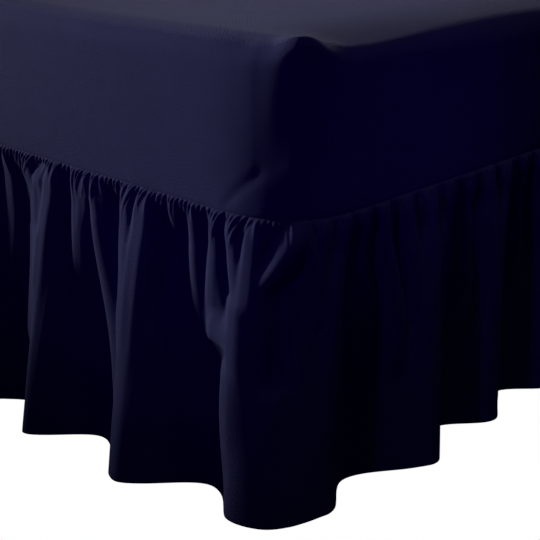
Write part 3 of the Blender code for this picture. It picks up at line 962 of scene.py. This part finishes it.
class BEDSKIRT_OT_frill(bpy.types.Operator):
    """Make both lengths of the gathered frill"""

    bl_idname = "bed_skirt.make_frill"
    bl_label = "Make frill"

    def execute(self, context):
        sizes = context.scene.bed_skirt_frill
        folds, ridges, puckers = every_fold(), every_ridge(), every_pucker()
        near_join = fold_in_near(folds, HALFWAY)
        far_join = fold_in_near(folds, HALFWAY + SEAM_LENGTH / 2)
        outer = graded(0.0, DROP, count=56, power=1.7)
        inner = [DROP + turned for turned in (HEM_TURN_MIDDLE, HEM_TURN, 0.5 * sizes.hem, sizes.hem)]
        rows = np.array([*reversed(inner), *reversed(outer), -FRILL_STRIP])
        fine = sum(1 for down in outer if down < FRILL_FINE * DROP) + 1

        def place(along, down):
            turned = np.maximum(down - DROP, 0.0)
            share = np.clip(np.where(turned > 0, DROP - turned + HEM_TURN, down) / DROP, 0, 1)
            out = hem_out(folds, along) * share**FLARE + small_folds(ridges, along, share)
            out += sizes.pucker * gathers(puckers, along, share)
            out += corner_out(off_dart(along) - DART_FOOT, 0.0) * np.exp(-share * DROP / SEAM_PULL_FALL)
            tuck = SEAM_TUCK * np.exp(-share * DROP / FRILL_TUCK_FALL)
            out -= tuck + HEM_GAP * np.clip(turned / HEM_TURN, 0, 1)
            out -= np.where(down < 0, STRIP_INSET, 0.0)
            beside = np.minimum(*(np.abs(round_seam(along - join)) for join in (near_join, far_join)))
            out -= JOIN_DEPTH * np.exp(-((beside / JOIN_WIDTH) ** 2)) * ease(share / JOIN_START)
            x, y = seam_points(along, out)
            return x, y, SEAM_HEIGHT - REST_GAP - DROP * share + np.where(down < 0, -down, 0.0)

        lengths = (
            ("frill_foot", far_join - SEAM_LENGTH, near_join),
            ("frill_head", near_join, far_join),
        )
        colour = context.scene.bed_skirt_cover.colour
        for name, start, end in lengths:
            columns = spread(start, end, *FRILL_STEPS)
            mesh = cut_cloth(name + "_cloth", columns, rows, [(0, len(rows) - 1 - fine)])
            hang(mesh, columns, rows, place)
            frill = add_piece(name + "_cloth", mesh, cloth_in_use(colour), name)
        return {"FINISHED"}


class BEDSKIRT_OT_mattress(bpy.types.Operator):
    """Make the mattress"""

    bl_idname = "bed_skirt.make_mattress"
    bl_label = "Make mattress"

    def execute(self, context):
        sizes = context.scene.bed_skirt_mattress
        low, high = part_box("mattress")
        middle, size = (low + high) / 2, high - low - Vector([2 * MATTRESS_INSET] * 3)
        bm = bmesh.new()
        bmesh.ops.create_cube(bm, size=1.0)
        bmesh.ops.scale(bm, vec=size, verts=bm.verts)
        rounding = {"profile": 0.5, "affect": "EDGES", "material": -1}
        upright = [edge for edge in bm.edges if edge_rise(edge) > FLAT]
        bmesh.ops.bevel(bm, geom=upright, offset=MATTRESS_CORNER, segments=10, **rounding)
        rims = [edge for edge in bm.edges if edge_rise(edge) < FLAT]
        bmesh.ops.bevel(bm, geom=rims, offset=MATTRESS_EDGE, segments=6, **rounding)
        for axis, half in ((0, size.x / 2), (1, size.y / 2)):
            normal = Vector((1.0 - axis, float(axis), 0.0))
            count = int(2 * half / (sizes.quilting / QUILT_CUTS))
            for number in range(1, count):
                at = -half + 2 * half * number / count
                everything = [*bm.verts, *bm.edges, *bm.faces]
                bmesh.ops.bisect_plane(bm, geom=everything, dist=1e-5, plane_co=normal * at, plane_no=normal)
        for vert in bm.verts:
            # Diamonds on the top and the bottom, with a soft crown between their lines
            across = (vert.co.x + vert.co.y) * math.pi / sizes.quilting
            along = (vert.co.x - vert.co.y) * math.pi / sizes.quilting
            crown = abs(math.sin(across) * math.sin(along)) ** 0.5
            level = min(max((abs(vert.co.z) - size.z / 2 + QUILT_LAYER) / QUILT_LAYER, 0.0), 1.0)
            vert.co.z -= math.copysign(sizes.quilt_depth * (1 - crown) * level, vert.co.z)
            vert.co.z -= float(side_sag(vert.co.x, vert.co.y) * ease(vert.co.z / (size.z / 2)))
        bmesh.ops.translate(bm, vec=middle, verts=bm.verts)
        bmesh.ops.recalc_face_normals(bm, faces=bm.faces)
        mesh = make_mesh("mattress_ticking", bm)
        mattress = add_piece("mattress_ticking", mesh, ticking(sizes.colour), "mattress")
        return {"FINISHED"}


class BEDSKIRT_OT_base(bpy.types.Operator):
    """Finish the bed base's upholstery"""

    bl_idname = "bed_skirt.finish_base"
    bl_label = "Finish base"

    def execute(self, context):
        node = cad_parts["bed_base"]
        fabric = base_fabric(context.scene.bed_skirt_base.colour)
        for slot in node.material_slots:
            slot.material = fabric
        return {"FINISHED"}


class BEDSKIRT_OT_stage(bpy.types.Operator):
    """Set up the floor, the light and the camera"""

    bl_idname = "bed_skirt.set_stage"
    bl_label = "Set up stage"

    def execute(self, context):
        scene = context.scene
        add_floor(scene)
        add_surroundings(scene, scene.bed_skirt_stage.fill)
        add_lamps(scene, scene.bed_skirt_stage)
        add_camera(scene)
        return {"FINISHED"}


class BEDSKIRT_PT_panel(bpy.types.Panel):
    """The bed skirt's pieces and stage"""

    bl_idname = "BEDSKIRT_PT_panel"
    bl_label = "Bed skirt"
    bl_space_type = "VIEW_3D"
    bl_region_type = "UI"
    bl_category = "Bed skirt"

    def draw(self, context):
        groups = (
            ("bed_skirt.make_mattress", "bed_skirt_mattress", ("colour", "quilting", "quilt_depth")),
            ("bed_skirt.finish_base", "bed_skirt_base", ("colour",)),
            ("bed_skirt.make_cover", "bed_skirt_cover", ("colour", "ear_height", "unevenness")),
            ("bed_skirt.make_frill", "bed_skirt_frill", ("pucker", "hem")),
            ("bed_skirt.set_stage", "bed_skirt_stage", ("key", "fill", "back", "front", "edge")),
        )
        for operator, group, names in groups:
            box = self.layout.box()
            for name in names:
                box.prop(getattr(context.scene, group), name)
            box.operator(operator)


GROUPS = {
    "bed_skirt_cover": BedSkirtCover,
    "bed_skirt_frill": BedSkirtFrill,
    "bed_skirt_mattress": BedSkirtMattress,
    "bed_skirt_base": BedSkirtBase,
    "bed_skirt_stage": BedSkirtStage,
}
CLASSES = (
    *GROUPS.values(),
    BEDSKIRT_OT_mattress,
    BEDSKIRT_OT_base,
    BEDSKIRT_OT_cover,
    BEDSKIRT_OT_frill,
    BEDSKIRT_OT_stage,
    BEDSKIRT_PT_panel,
)


def register():
    for made in CLASSES:
        bpy.utils.register_class(made)
    for name, group in GROUPS.items():
        setattr(bpy.types.Scene, name, bpy.props.PointerProperty(type=group))


def unregister():
    for name in GROUPS:
        delattr(bpy.types.Scene, name)
    for made in reversed(CLASSES):
        bpy.utils.unregister_class(made)


def main():
    register()
    bpy.ops.bed_skirt.make_mattress()
    bpy.ops.bed_skirt.finish_base()
    bpy.ops.bed_skirt.make_cover()
    bpy.ops.bed_skirt.make_frill()
    bpy.ops.bed_skirt.set_stage()


if __name__ == "__main__":
    main()
